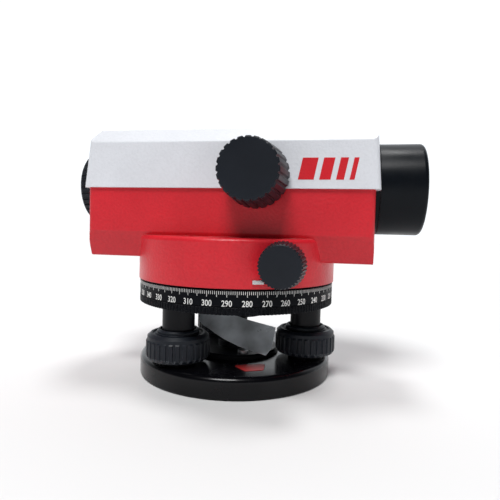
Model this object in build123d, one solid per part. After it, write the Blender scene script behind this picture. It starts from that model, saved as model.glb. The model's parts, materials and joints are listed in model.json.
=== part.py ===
"""Automatic level: a surveyor's self-levelling telescope on a three-screw base.

Row frame, millimetres: the origin is the centre of the tripod thread on the underside of the base, +Z is the
vertical axis, +X is the line of sight towards the objective, and -Y is the side with the focusing knob.
"""
from build123d import *
from math import cos, pi, radians, sin, sqrt
import os

# ---------------------------------------------------------------- overall places
SIGHT_Z = 100.0              # height of the line of sight
RUN = 0.05                   # radial clearance of a running fit
SEAT = 0.10                  # clearance of a drop-in seat
OBJECTIVE_END = 96.2
EYEPIECE_END = -85.2

# ---------------------------------------------------------------- base and foot screws
BASE_RADIUS = 52.0
BASE_HEIGHT = 10.5
BASE_TOP_ROUND = 2.5
BASE_FOOT_ROUND = 0.8
BASE_RELIEF_DEPTH = 1.6
BASE_RELIEF_INNER = 17.0
BASE_RELIEF_OUTER = 46.0
TRIPOD_WALL_RADIUS = 6.85    # plain wall at the minor radius of a 5/8 inch 11 tpi thread
BUSH_RADIUS = 11.0
BUSH_FLANGE_RADIUS = 14.0
BUSH_FLANGE = 2.0
INLAY_INNER = 32.0
INLAY_OUTER = 41.5
INLAY_HALF_WIDTH = 8.2
INLAY_OUTER_HALF_WIDTH = 4.6
INLAY_CORNER = 1.4
INLAY_DEPTH = 0.8
INLAY_PROUD = 0.15

SCREW_INSET = 12.78          # from the rim of the base to a foot screw's centre
SCREW_CIRCLE = BASE_RADIUS - SCREW_INSET
SCREW_ANGLES = {"a": -125.17, "b": -5.17, "c": 114.83}
BALL_HEIGHT = 7.0
BALL_RADIUS = 4.0
NECK_RADIUS = 2.8
CAP_RADIUS = 9.0
CAP_THICKNESS = 1.8

KNOB_RADIUS = 15.84
KNOB_RIB_DEPTH = 0.8
KNOB_RIBS = 30
KNOB_BOTTOM = 13.0
KNOB_TOP = 25.5
KNOB_RIB_TOP = 23.0
KNOB_RIM_RADIUS = 15.25
KNOB_CHAMFER = 1.0
COLLAR_TOP = 27.3
COLLAR_WALL = 1.5
POCKET_DEPTH_BELOW_SLEEVE = 2.2
SPINDLE_RADIUS = 2.75
SPINDLE_TOP = 42.0
SPINDLE_COLLAR_RADIUS = 6.0
SPINDLE_COLLAR = 2.5

# ---------------------------------------------------------------- boss and stud at the centre of the base
BOSS_RADIUS = 24.0
BOSS_THICKNESS = 2.4
BOSS_SCREW_CIRCLE = 18.5
CUP_HEIGHT = 3.0
CUP_WALL = 2.4
STUD_RADIUS = 6.5
STUD_TOP = 35.0
STUD_FOOT_GAP = 0.4
STUD_PLAY = 0.6

# ---------------------------------------------------------------- tribrach
TRIBRACH_BOTTOM = 38.0
TRIBRACH_TOP = 45.0
SLEEVE_RADIUS = 8.05
SLEEVE_WALL = 1.75
SLEEVE_BOTTOM = 24.5
TRIBRACH_RIM = 0.73          # metal outside each sleeve
TRIBRACH_RADIUS = SCREW_CIRCLE + SLEEVE_RADIUS + TRIBRACH_RIM
SLEEVE_ROOF = 1.2
SLEEVE_PLAY = 0.95           # side play of a sleeve in the pocket of its knob, for the tilt
SPINDLE_PLAY = 1.5           # side play of a spindle in its bush, for the tilt
THREAD_BUSH_BOTTOM = 30.0
SKIRT_BOTTOM = 31.0
SKIRT_WALL = 2.5
SKIRT_PLAY = 2.0

AXIS_RADIUS = 9.0            # bore of the vertical bearing
AXIS_SLEEVE_RADIUS = 14.0
AXIS_SLEEVE_TOP = 65.6
AXIS_FLOOR = 1.5
AXIS_SHOULDER_RADIUS = 17.5
AXIS_SHOULDER = 4.0

# ---------------------------------------------------------------- tension leaf
LEAF_THICKNESS = 0.6
LEAF_LEAN = 30.0             # degrees from upright, top leaning back
LEAF_TURN = 4.0              # degrees about the vertical
LEAF_FOOT = 8.0
LEAF_FOOT_LENGTH = 16.0
LEAF_FROM_SCREW_X = 7.6
LEAF_FROM_HUB = 0.9
LEAF_SCREW_RADIUS = 1.2
LEAF_OUTLINE = (             # along the bend and down the blade
    (0, 0), (14, 0), (17, -4.8), (26, -7.3), (41, -10.2), (40.3, -20.5), (37.8, -24.6),
    (24, -21.4), (16, -18.5), (10, -15.6), (7, -13.8), (3, -12.0), (0, -9.0),
)

# ---------------------------------------------------------------- horizontal circle
CIRCLE_WALL = 4.6
CIRCLE_RADIUS = TRIBRACH_RADIUS + SEAT + CIRCLE_WALL
CIRCLE_BOTTOM = 39.0
CIRCLE_TOP = 50.5
CIRCLE_KNURLS = 180
CIRCLE_KNURL_DEPTH = 0.45
CIRCLE_KNURL_TOP = 42.2
CIRCLE_GROOVE = 0.5
CIRCLE_FLANGE_WIDTH = 7.0
CIRCLE_FLANGE = 3.0

# ---------------------------------------------------------------- housing and cover
TURRET_OVERHANG = 0.57       # turret outside the circle below it
TURRET_RADIUS = CIRCLE_RADIUS + TURRET_OVERHANG
TURRET_BOTTOM = 50.9
TURRET_TOP = 73.5
TURRET_ROUND = 2.0
TURRET_WALL = 3.2
TURRET_ROOF = AXIS_SLEEVE_TOP + 3.2
BODY_LEFT = -74.4
BODY_RIGHT = 71.5
BODY_HALF_WIDTH = 30.0
BODY_BEVEL = 5.0
BODY_FLOOR_HALF_WIDTH = BODY_HALF_WIDTH - BODY_BEVEL
BODY_BOTTOM = 62.0
BODY_BEVEL_TOP = 75.2
BODY_WALL = 3.0
BODY_FLOOR = 72.6
BODY_CORNER = 3.0
BODY_EDGE_ROUND = 1.5
SEAM_Z = 97.5

COVER_LEVELS = (             # height, left end, right end, half width
    (SEAM_Z, BODY_LEFT - 2.0, BODY_RIGHT + 2.3, BODY_HALF_WIDTH + 1.1),
    (121.0, BODY_LEFT + 0.2, BODY_RIGHT + 0.7, BODY_HALF_WIDTH),
    (128.6, BODY_LEFT + 3.8, BODY_RIGHT + 0.3, BODY_HALF_WIDTH - 8.0),
)
COVER_WALL = 2.5
COVER_CORNER = 3.0
COVER_EDGE_ROUND = 2.0
CORNER_SPARE = 0.04          # keeps the corner form just outside the flat sides
COVER_SCREW_INSET_X = 9.0
COVER_SCREW_Y = 15.0
COVER_SCREW_HEAD = 3.2
COVER_SCREW_SHANK = 1.5
COVER_SCREW_LENGTH = 9.0

# ---------------------------------------------------------------- vertical spindle
SPINDLE_FLANGE_RADIUS = 20.0
SPINDLE_FLANGE_SCREW_CIRCLE = 16.5
AXIS_THRUST_GAP = 0.1
SMALL_SCREW_RADIUS = 1.25

# ---------------------------------------------------------------- slow-motion drive
WHEEL_TEETH = 52
WHEEL_PITCH_RADIUS = 26.0
WHEEL_THICKNESS = 6.0
WORM_PITCH_RADIUS = 5.0
WORM_TIP_RADIUS = 5.45
WORM_ROOT_RADIUS = 4.1
WORM_TURNS = 4
DRIVE_Z = 62.3
DRIVE_SHAFT_RADIUS = 2.5
DRIVE_KNOB_RADIUS = 10.7
DRIVE_KNOB_FACE_RADIUS = 9.5
DRIVE_KNOB_RIBS = 36
DRIVE_KNOB_GAP = 1.0
DRIVE_KNOB_DEPTH = 12.0
DRIVE_X = WHEEL_PITCH_RADIUS + WORM_PITCH_RADIUS
DRIVE_KNOB_REAR = sqrt(TURRET_RADIUS ** 2 - (DRIVE_X - DRIVE_KNOB_RADIUS) ** 2) + DRIVE_KNOB_GAP
DRIVE_KNOB_FRONT = DRIVE_KNOB_REAR + DRIVE_KNOB_DEPTH
DRIVE_BUSH_RADIUS = 5.0
DRIVE_BUSH_FLANGE = 7.0

# ---------------------------------------------------------------- focusing
FOCUS_X = 15.3
FOCUS_Z = 103.6
FOCUS_KNOB_RADIUS = 16.2
FOCUS_KNOB_RIBS = 24
FOCUS_KNOB_GAP = 2.1         # between the cover's lip and the knob
FOCUS_KNOB_DEPTH = 23.4
FOCUS_KNOB_REAR = -COVER_LEVELS[0][3] - FOCUS_KNOB_GAP
FOCUS_KNOB_FRONT = FOCUS_KNOB_REAR - FOCUS_KNOB_DEPTH
FOCUS_FACE_RADIUS = 14.1
FOCUS_SHAFT_RADIUS = 2.0
FOCUS_BUSH_RADIUS = 4.5
FOCUS_BUSH_FLANGE = 6.5
PINION_TEETH = 12
PINION_PITCH_RADIUS = 3.0
TOOTH_ADDENDUM = 0.35
TOOTH_DEDENDUM = 0.55
TELESCOPE_BORE = 11.0
TELESCOPE_WALL = 2.0
TELESCOPE_REAR = -28.0
CARRIAGE_LENGTH = 24.0
CARRIAGE_WALL = 1.9
FOCUS_TRAVEL = 8.0
RACK_LENGTH = 28.0
RACK_OUTER_Y = -TELESCOPE_BORE - 4.0
RACK_DEPTH = 3.4

# ---------------------------------------------------------------- objective
BARREL_RADIUS = 23.5
BARREL_NECK_RADIUS = BARREL_RADIUS - 0.8
BARREL_WALL = 3.2
BARREL_BORE = BARREL_RADIUS - BARREL_WALL
BARREL_SHOULDER = COVER_LEVELS[0][2] + 0.4
BARREL_REAR = BARREL_SHOULDER - 18.2
BARREL_ROUND = 2.0
HOOD_BORE = BARREL_BORE + 0.8
HOOD_DEPTH = 9.8
LENS_SEAT_RADIUS = BARREL_BORE - 2.0
LENS_RECESS = 19.8
LENS_SEAT_X = OBJECTIVE_END - LENS_RECESS
LENS_SEAT = 2.0

# ---------------------------------------------------------------- eyepiece
EYE_RING_RADIUS = 20.1
EYE_RING_RIDGES = 40
EYE_RING_REAR = COVER_LEVELS[0][1] - 0.7
EYE_RING_LIP = 2.2
EYE_MOUNT_RADIUS = 16.5
EYE_MOUNT_WALL = 2.5
EYE_MOUNT_BORE = EYE_MOUNT_RADIUS - EYE_MOUNT_WALL
EYE_MOUNT_INNER = -58.0
EYE_MOUNT_FLANGE = EYE_MOUNT_RADIUS + 4.5
EYE_CELL_WALL = 3.0
EYE_CELL_OUTER = EYEPIECE_END + 1.1
EYE_CELL_INNER = -66.5
RETICLE_X = -62.0

# ---------------------------------------------------------------- compensator
COMP_LEFT = -56.0
COMP_RIGHT = -31.0
COMP_BOTTOM = 78.0
COMP_TOP = 119.0
COMP_HALF_WIDTH = 15.0
COMP_WALL = 2.0
PIVOT_X = -43.5
PIVOT_Z = 115.0
PIVOT_RADIUS = 1.5
PENDULUM_GAP = 1.2
PENDULUM_BOTTOM = 84.0

# ---------------------------------------------------------------- circular level and its mirror
LEVEL_X = -9.0
LEVEL_RADIUS = 10.2
LEVEL_Y = BODY_HALF_WIDTH + LEVEL_RADIUS + 1.1
LEVEL_HEIGHT = 8.0
LEVEL_WALL = 1.8
MIRROR_PIN_X = 5.5
MIRROR_PIN_Z = TURRET_TOP + LEVEL_HEIGHT + 3.4
MIRROR_PIN_RADIUS = 1.0
MIRROR_LENGTH = 19.0
MIRROR_WIDTH = 15.0
MIRROR_ANGLE = 45.0
MIRROR_FRAME = 1.2
BRACKET_WALL = 1.6

# ---------------------------------------------------------------- circle index
POINTER_ANGLE = -68.0
POINTER_SPAN = 5.5
POINTER_THICKNESS = 0.8
POINTER_BOTTOM = 53.2
POINTER_TOP = 55.0

LOW = (Align.CENTER, Align.CENTER, Align.MIN)
NODES = {}


# ================================================================ shape helpers
def placed(axis, along, first, second):
    """Location at `along` on an axis; first and second are the other two coordinates in X, Y, Z order."""
    if axis == "X":
        return Pos(along, first, second) * Rot(0, 90, 0)
    if axis == "Y":
        return Pos(first, along, second) * Rot(-90, 0, 0)
    return Pos(first, second, along)


def rod(axis, radius, start, end, first=0.0, second=0.0):
    """Solid cylinder along an axis."""
    return placed(axis, start, first, second) * Cylinder(radius, end - start, align=LOW)


def tube(axis, outer, inner, start, end, first=0.0, second=0.0):
    """Plain tube along an axis."""
    return rod(axis, outer, start, end, first, second) - rod(axis, inner, start, end, first, second)


def block(x0, x1, y0, y1, z0, z1):
    """Box between two corners."""
    return Pos((x0 + x1) / 2, (y0 + y1) / 2, (z0 + z1) / 2) * Box(x1 - x0, y1 - y0, z1 - z0)


def turned(points):
    """Body of revolution about Z from (radius, height) points."""
    return revolve(Plane.XZ * Polygon(*points, align=None), Axis.Z)


def chamfered(radius, height, low_cut, high_cut):
    """Cylinder about Z whose two edges are cut back by (radial, axial) amounts."""
    return turned([
        (0, 0), (radius - low_cut[0], 0), (radius, low_cut[1]),
        (radius, height - high_cut[1]), (radius - high_cut[0], height), (0, height),
    ])


def toothed_outline(root, tip, count, crest, foot=0.75, phase=0.0):
    """Ring of straight teeth about the origin; crest and foot are a tooth's shares of the pitch."""
    step = 2 * pi / count
    points = []
    for tooth in range(count):
        for radius, share in ((root, -foot / 2), (tip, -crest / 2), (tip, crest / 2), (root, foot / 2)):
            angle = radians(phase) + (tooth + share) * step
            points.append((radius * cos(angle), radius * sin(angle)))
    return Polygon(*points, align=None)


def toothed(root, tip, count, crest, height, foot=0.75, phase=0.0):
    """Prism about Z with straight teeth."""
    return extrude(toothed_outline(root, tip, count, crest, foot, phase), amount=height)


def tapered_grip(rear, front, rib, count, crest, foot, depth):
    """Ribbed grip about Z that narrows from its rear radius to its front radius, both ends chamfered."""
    grip = loft([toothed_outline(rear - rib, rear, count, crest, foot),
                 Pos(0, 0, depth) * toothed_outline(front - rib, front, count, crest, foot)], ruled=True)
    limit = turned([(0, 0), (rear - 0.6, 0), (rear + 0.1, 0.8), (front + 0.1, depth - 0.6),
                    (front - 0.6, depth), (0, depth)])
    return grip & limit


def sag(radius, depth, height):
    """How far a spherical face of rim radius and depth stands out at a height from its axis."""
    curve = (radius * radius + depth * depth) / (2 * depth)
    return depth - (curve - sqrt(curve * curve - height * height))


def lens_edge(x, radius, bulge):
    """Half section of a lens face from the axis to its rim; a positive bulge stands towards +X."""
    if bulge == 0:
        return Line((x, 0), (x, radius))
    side = 1 if bulge > 0 else -1
    middle = (x + side * sag(radius, abs(bulge), radius / 2), radius / 2)
    return ThreePointArc((x + bulge, 0), middle, (x, radius))


def lens(rear, front, radius, rear_bulge, front_bulge):
    """Lens on the line of sight; bulges are measured towards +X on both faces."""
    back = lens_edge(rear, radius, rear_bulge)
    face = lens_edge(front, radius, front_bulge)
    rim = Line((rear, radius), (front, radius))
    axis = Line((rear + rear_bulge, 0), (front + front_bulge, 0))
    return Pos(0, 0, SIGHT_Z) * revolve(make_face(Curve() + [back, rim, face, axis]), Axis.X)


def cut(body, *tools):
    """Body minus each tool in turn."""
    for tool in tools:
        body = body - tool
    return body


def group(parts):
    """Separate solids kept in one node."""
    return Compound(children=[part.solid() for part in parts])


def ring_places(radius, count, start):
    """Points evenly spaced on a circle about Z."""
    for place in range(count):
        angle = radians(start + 360 * place / count)
        yield radius * cos(angle), radius * sin(angle)


def screw_place(key):
    """Centre of a foot screw."""
    angle = radians(SCREW_ANGLES[key])
    return SCREW_CIRCLE * cos(angle), SCREW_CIRCLE * sin(angle)


# ================================================================ base
def build_base():
    """Cast base with its tripod bush, ball sockets, centre boss and colour inlay."""
    plate = Cylinder(BASE_RADIUS, BASE_HEIGHT, align=LOW)
    plate = fillet(plate.edges().group_by(Axis.Z)[-1], BASE_TOP_ROUND)
    plate = fillet(plate.edges().group_by(Axis.Z)[0], BASE_FOOT_ROUND)
    plate = cut(
        plate,
        tube("Z", BASE_RELIEF_OUTER, BASE_RELIEF_INNER, 0, BASE_RELIEF_DEPTH),
        rod("Z", BUSH_RADIUS, 0, BASE_HEIGHT),
        rod("Z", BUSH_FLANGE_RADIUS, BASE_HEIGHT - BUSH_FLANGE, BASE_HEIGHT),
    )
    for key in SCREW_ANGLES:
        x, y = screw_place(key)
        socket = BALL_RADIUS + RUN
        plate = plate - Pos(x, y, BALL_HEIGHT) * Sphere(socket)
        plate = plate - rod("Z", socket, BALL_HEIGHT, BASE_HEIGHT, x, y)
    angle = (SCREW_ANGLES["a"] + SCREW_ANGLES["b"]) / 2
    inlay = Rot(0, 0, angle) * inlay_shape()
    NODES["base_plate"] = plate - inlay
    NODES["base_inlay"] = inlay

    bush = rod("Z", BUSH_RADIUS, 0, BASE_HEIGHT)
    bush = bush + rod("Z", BUSH_FLANGE_RADIUS, BASE_HEIGHT - BUSH_FLANGE, BASE_HEIGHT)
    NODES["tripod_bush"] = bush - rod("Z", TRIPOD_WALL_RADIUS, 0, BASE_HEIGHT)

    caps = []
    for key in SCREW_ANGLES:
        x, y = screw_place(key)
        caps.append(tube("Z", CAP_RADIUS, NECK_RADIUS + SEAT, BASE_HEIGHT, BASE_HEIGHT + CAP_THICKNESS, x, y))
    NODES["socket_caps"] = group(caps)


def inlay_shape():
    """Tapered colour inlay, its wide side towards the axis, before it is turned to its place."""
    face = Polygon((INLAY_INNER, -INLAY_HALF_WIDTH), (INLAY_OUTER, -INLAY_OUTER_HALF_WIDTH),
                   (INLAY_OUTER, INLAY_OUTER_HALF_WIDTH), (INLAY_INNER, INLAY_HALF_WIDTH), align=None)
    face = fillet(face.vertices(), INLAY_CORNER)
    return Pos(0, 0, BASE_HEIGHT - INLAY_DEPTH) * extrude(face, amount=INLAY_DEPTH + INLAY_PROUD)


def build_boss():
    """Round boss plate over the tripod bush, its screws, and the stud that stands in its cup."""
    boss_top = BASE_HEIGHT + BOSS_THICKNESS
    cup_inner = STUD_RADIUS + STUD_PLAY
    stud_foot = boss_top + STUD_FOOT_GAP
    plate = Pos(0, 0, BASE_HEIGHT) * chamfered(BOSS_RADIUS, BOSS_THICKNESS, (0.01, 0.01), (0.9, 0.9))
    plate = plate + tube("Z", cup_inner + CUP_WALL, cup_inner, boss_top, boss_top + CUP_HEIGHT)
    screws = []
    for x, y in ring_places(BOSS_SCREW_CIRCLE, 3, SCREW_ANGLES["a"] + 60):
        screw = rod("Z", 1.5, BASE_HEIGHT, boss_top, x, y)
        head = rod("Z", 2.8, boss_top, boss_top + 1.6, x, y)
        slot = Pos(x, y, boss_top + 1.6) * Box(6.0, 0.7, 1.2)
        plate = plate - rod("Z", 1.5, BASE_HEIGHT, boss_top, x, y)
        screws.append(screw + head - slot)
    NODES["centre_boss"] = plate
    NODES["boss_screws"] = group(screws)
    stud = Pos(0, 0, stud_foot) * chamfered(STUD_RADIUS, STUD_TOP - stud_foot, (0.6, 0.6), (0.8, 0.8))
    NODES["centre_stud"] = stud - Pos(0, 0, (stud_foot + STUD_TOP) / 2) * (
        Cylinder(STUD_RADIUS + 1, 1.0) - Cylinder(STUD_RADIUS - 0.6, 1.0))


# ================================================================ foot screws
def build_foot_screws():
    """Three foot screws: a ball-ended spindle in a ribbed knob whose pocket takes the tribrach sleeve."""
    pocket_radius = SLEEVE_RADIUS + SLEEVE_PLAY
    pocket_floor = SLEEVE_BOTTOM - POCKET_DEPTH_BELOW_SLEEVE
    collar_radius = pocket_radius + COLLAR_WALL
    height = KNOB_TOP - KNOB_BOTTOM
    rib_height = KNOB_RIB_TOP - KNOB_BOTTOM
    grip = toothed(KNOB_RADIUS - KNOB_RIB_DEPTH, KNOB_RADIUS, KNOB_RIBS, 0.5, rib_height, 0.8)
    grip = grip & chamfered(KNOB_RADIUS, rib_height, (KNOB_CHAMFER, 1.6), (KNOB_CHAMFER, 1.2))
    grip = grip + chamfered(KNOB_RIM_RADIUS, height, (KNOB_CHAMFER, 1.6), (1.6, 1.4))
    ring = Pos(0, 0, height) * chamfered(collar_radius, COLLAR_TOP - KNOB_TOP, (0.01, 0.01), (0.7, 0.7))
    knob = Pos(0, 0, KNOB_BOTTOM) * (grip + ring)
    knob = cut(
        knob,
        rod("Z", pocket_radius, pocket_floor, COLLAR_TOP),
        rod("Z", SPINDLE_RADIUS, KNOB_BOTTOM, COLLAR_TOP),
        rod("Z", SPINDLE_COLLAR_RADIUS, KNOB_BOTTOM, KNOB_BOTTOM + SPINDLE_COLLAR),
        tube("Z", pocket_radius + 3.6, pocket_radius + 2.2, KNOB_TOP - 0.5, KNOB_TOP),
    )
    spindle = Sphere(BALL_RADIUS) + rod("Z", NECK_RADIUS, 0, KNOB_BOTTOM - BALL_HEIGHT)
    spindle = Pos(0, 0, BALL_HEIGHT) * spindle
    spindle = spindle + rod("Z", SPINDLE_COLLAR_RADIUS, KNOB_BOTTOM, KNOB_BOTTOM + SPINDLE_COLLAR)
    spindle = spindle + rod("Z", SPINDLE_RADIUS, KNOB_BOTTOM, SPINDLE_TOP)
    for key in SCREW_ANGLES:
        x, y = screw_place(key)
        NODES["foot_knob_" + key] = Pos(x, y, 0) * knob
        NODES["foot_spindle_" + key] = Pos(x, y, 0) * spindle


# ================================================================ tribrach
def build_tribrach():
    """Tribrach plate with three sleeves, their brass bushes and the bearing of the vertical axis."""
    skirt_inner = STUD_RADIUS + SKIRT_PLAY
    plate = Pos(0, 0, TRIBRACH_BOTTOM) * chamfered(
        TRIBRACH_RADIUS, TRIBRACH_TOP - TRIBRACH_BOTTOM, (1.0, 1.0), (0.5, 0.5))
    plate = plate + tube("Z", AXIS_SLEEVE_RADIUS + SKIRT_WALL, skirt_inner, SKIRT_BOTTOM, TRIBRACH_BOTTOM)
    plate = plate - rod("Z", AXIS_SLEEVE_RADIUS, TRIBRACH_BOTTOM - AXIS_FLOOR, TRIBRACH_TOP)
    sleeve_bore = SLEEVE_RADIUS - SLEEVE_WALL
    bush_bore = SPINDLE_RADIUS + SPINDLE_PLAY
    bush_top = TRIBRACH_TOP - SLEEVE_ROOF
    sleeves = []
    bushes = []
    for key in SCREW_ANGLES:
        x, y = screw_place(key)
        plate = plate - rod("Z", SLEEVE_RADIUS, TRIBRACH_BOTTOM, TRIBRACH_TOP, x, y)
        sleeve = rod("Z", SLEEVE_RADIUS, SLEEVE_BOTTOM, TRIBRACH_TOP, x, y)
        sleeves.append(sleeve - rod("Z", sleeve_bore, SLEEVE_BOTTOM, bush_top, x, y))
        bushes.append(tube("Z", sleeve_bore, bush_bore, THREAD_BUSH_BOTTOM, bush_top, x, y))
    sleeve = rod("Z", AXIS_SLEEVE_RADIUS, TRIBRACH_BOTTOM - AXIS_FLOOR, AXIS_SLEEVE_TOP)
    shoulder_top = DRIVE_Z - WHEEL_THICKNESS / 2 - SEAT
    sleeve = sleeve + rod("Z", AXIS_SHOULDER_RADIUS, shoulder_top - AXIS_SHOULDER, shoulder_top)
    sleeve = sleeve - rod("Z", AXIS_RADIUS, TRIBRACH_BOTTOM, AXIS_SLEEVE_TOP)
    leaf, screws, holes = tension_leaf()
    NODES["tribrach_plate"] = cut(plate, *holes)
    NODES["foot_screw_sleeves"] = group(sleeves)
    NODES["foot_screw_bushes"] = group(bushes)
    NODES["axis_sleeve"] = sleeve
    NODES["tension_leaf"] = leaf
    NODES["leaf_screws"] = group(screws)


def tension_leaf():
    """Bent spring-steel leaf screwed under the tribrach, its blade running down towards the base."""
    hang_x = screw_place("a")[0] + LEAF_FROM_SCREW_X
    hang_y = -(AXIS_SLEEVE_RADIUS + SKIRT_WALL + LEAF_FROM_HUB)
    blade = Polygon(*LEAF_OUTLINE, align=None)
    lean = Pos(hang_x, hang_y, TRIBRACH_BOTTOM) * Rot(0, 0, -LEAF_TURN) * Rot(90 - LEAF_LEAN, 0, 0)
    blade = lean * extrude(blade, amount=LEAF_THICKNESS)
    foot = Pos(hang_x, hang_y, TRIBRACH_BOTTOM - LEAF_THICKNESS) * Rot(0, 0, -LEAF_TURN) * Box(
        LEAF_FOOT_LENGTH, LEAF_FOOT, LEAF_THICKNESS, align=(Align.MIN, Align.MAX, Align.MIN))
    blade = blade - block(-60, 60, -60, 60, TRIBRACH_BOTTOM, TRIBRACH_BOTTOM + 5)
    leaf = blade + foot
    screws = []
    holes = []
    for along in (4.0, 13.0):
        turn = radians(-LEAF_TURN)
        x = hang_x + along * cos(turn) + LEAF_FOOT / 2 * sin(turn)
        y = hang_y + along * sin(turn) - LEAF_FOOT / 2 * cos(turn)
        under = TRIBRACH_BOTTOM - LEAF_THICKNESS
        shank = rod("Z", LEAF_SCREW_RADIUS, under, TRIBRACH_BOTTOM + 4, x, y)
        head = rod("Z", 2 * LEAF_SCREW_RADIUS, under - 1.4, under, x, y)
        leaf = leaf - rod("Z", LEAF_SCREW_RADIUS, under, TRIBRACH_BOTTOM, x, y)
        screws.append(shank + head - Pos(x, y, under - 1.4) * Box(6, 0.6, 1.0))
        holes.append(rod("Z", LEAF_SCREW_RADIUS, TRIBRACH_BOTTOM, TRIBRACH_BOTTOM + 4, x, y))
    return leaf, screws, holes


# ================================================================ circle
def build_circle():
    """Horizontal circle: a ring with a knurled lower grip, riding on the tribrach plate."""
    inner = TRIBRACH_RADIUS + SEAT
    groove = CIRCLE_RADIUS - CIRCLE_GROOVE
    flange_low = TRIBRACH_TOP + SEAT
    outline = [
        (inner, CIRCLE_BOTTOM), (groove, CIRCLE_BOTTOM), (groove, CIRCLE_KNURL_TOP + 0.5),
        (CIRCLE_RADIUS, CIRCLE_KNURL_TOP + 1.0), (CIRCLE_RADIUS, CIRCLE_TOP - 0.5),
        (CIRCLE_RADIUS - 0.5, CIRCLE_TOP), (inner, CIRCLE_TOP), (inner, flange_low + CIRCLE_FLANGE),
        (inner - CIRCLE_FLANGE_WIDTH, flange_low + CIRCLE_FLANGE), (inner - CIRCLE_FLANGE_WIDTH, flange_low),
        (inner, flange_low),
    ]
    grip = toothed(CIRCLE_RADIUS - CIRCLE_KNURL_DEPTH, CIRCLE_RADIUS, CIRCLE_KNURLS, 0.4,
                   CIRCLE_KNURL_TOP - CIRCLE_BOTTOM)
    grip = Pos(0, 0, CIRCLE_BOTTOM) * grip
    grip = grip - rod("Z", groove - 1, CIRCLE_BOTTOM, CIRCLE_KNURL_TOP)
    NODES["horizontal_circle"] = turned(outline) + grip


# ================================================================ housing and cover
def body_section(inset):
    """Outline of the body across the line of sight, drawn in by an inset."""
    side = BODY_HALF_WIDTH - inset
    low = BODY_FLOOR_HALF_WIDTH - inset
    return [(-side, SEAM_Z), (-side, BODY_BEVEL_TOP), (-low, BODY_BOTTOM + inset),
            (low, BODY_BOTTOM + inset), (side, BODY_BEVEL_TOP), (side, SEAM_Z)]


def body_prism(inset):
    """Body block with round upright corners, drawn in by an inset."""
    left = BODY_LEFT + inset
    length = BODY_RIGHT - BODY_LEFT - 2 * inset
    section = Polygon(*body_section(inset), align=None)
    section = fillet(section.vertices().filter_by(lambda corner: corner.Y < SEAM_Z - 1), BODY_EDGE_ROUND)
    prism = extrude(Plane.YZ.offset(left) * section, amount=length)
    corners = RectangleRounded(length, 2 * (BODY_HALF_WIDTH - inset), BODY_CORNER)
    upright = Pos(left + length / 2, 0, BODY_BOTTOM) * extrude(corners, amount=SEAM_Z - BODY_BOTTOM)
    return prism & upright


def barrel_saddle():
    """Hole that the objective barrel and the eyepiece mount pass through in both end walls."""
    front = rod("X", BARREL_NECK_RADIUS, 40, COVER_LEVELS[0][2] + 5, 0, SIGHT_Z)
    back = rod("X", EYE_MOUNT_RADIUS, COVER_LEVELS[0][1] - 5, BODY_LEFT + 20, 0, SIGHT_Z)
    return front, back


def build_housing():
    """Red casting: a round turret over the circle and the long body above it, open at the seam."""
    turret = rod("Z", TURRET_RADIUS, TURRET_BOTTOM, TURRET_TOP)
    turret = fillet(turret.edges().group_by(Axis.Z)[-1], TURRET_ROUND)
    pocket = body_prism(BODY_WALL)
    upper = pocket & block(-100, 100, -50, 50, BODY_FLOOR, SEAM_Z)
    ends = pocket - rod("Z", TURRET_RADIUS + 1.5, BODY_BOTTOM, BODY_FLOOR + 1)
    housing = cut(
        body_prism(0) + turret,
        upper, ends,
        rod("Z", TURRET_RADIUS - TURRET_WALL, TURRET_BOTTOM, TURRET_ROOF),
        rod("Y", DRIVE_BUSH_RADIUS, -60, 60, DRIVE_X, DRIVE_Z),
        *barrel_saddle(),
    )
    for x, y in ring_places(SPINDLE_FLANGE_SCREW_CIRCLE, 4, 45):
        housing = housing - rod("Z", SMALL_SCREW_RADIUS, TURRET_ROOF, TURRET_ROOF + 3, x, y)
    NODES["housing"] = housing - level_stem_hole()


def slanted(height, low, high):
    """Value at a height on the straight line through two (height, value) pairs."""
    share = (height - low[0]) / (high[0] - low[0])
    return low[1] + share * (high[1] - low[1])


def cover_outline(levels, spare):
    """Upright outline of the cover from (height, left, right) levels, run past both ends by a spare height."""
    (low, left, right), (shoulder, left_2, right_2), (top, left_3, right_3) = levels
    floor = low - spare
    roof = top + spare
    outline = Polygon(
        (slanted(floor, (low, left), (shoulder, left_2)), floor),
        (slanted(floor, (low, right), (shoulder, right_2)), floor),
        (right_2, shoulder),
        (slanted(roof, (shoulder, right_2), (top, right_3)), roof),
        (slanted(roof, (shoulder, left_2), (top, left_3)), roof),
        (left_2, shoulder), align=None)
    return fillet(outline.vertices().filter_by(lambda corner: corner.Y > SEAM_Z + 2), COVER_EDGE_ROUND)


def cover_form(inset):
    """Tapered cover block with bevelled top and round corners, drawn in by an inset."""
    lift = 0 if inset == 0 else -inset
    levels = [(height + (lift if height > SEAM_Z else 0), left + inset, right - inset, half - inset)
              for height, left, right, half in COVER_LEVELS]
    across = cover_outline([(height, -half, half) for height, left, right, half in levels], 0)
    along = cover_outline([(height, left, right) for height, left, right, half in levels], 1.0)
    reach = BODY_RIGHT - BODY_LEFT
    corners = []
    for height in (levels[0][0] - 2.0, levels[2][0] + 2.0):
        left, right, half = (slanted(height, (levels[0][0], levels[0][index]), (levels[1][0], levels[1][index]))
                             for index in (1, 2, 3))
        corner = RectangleRounded(right - left + CORNER_SPARE, 2 * half + CORNER_SPARE, COVER_CORNER)
        corners.append(Pos((left + right) / 2, 0, height) * corner)
    form = extrude(Plane.YZ * across, amount=reach, both=True) & loft(corners, ruled=True)
    return form & extrude(Plane.XZ * along, amount=reach, both=True)


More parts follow.
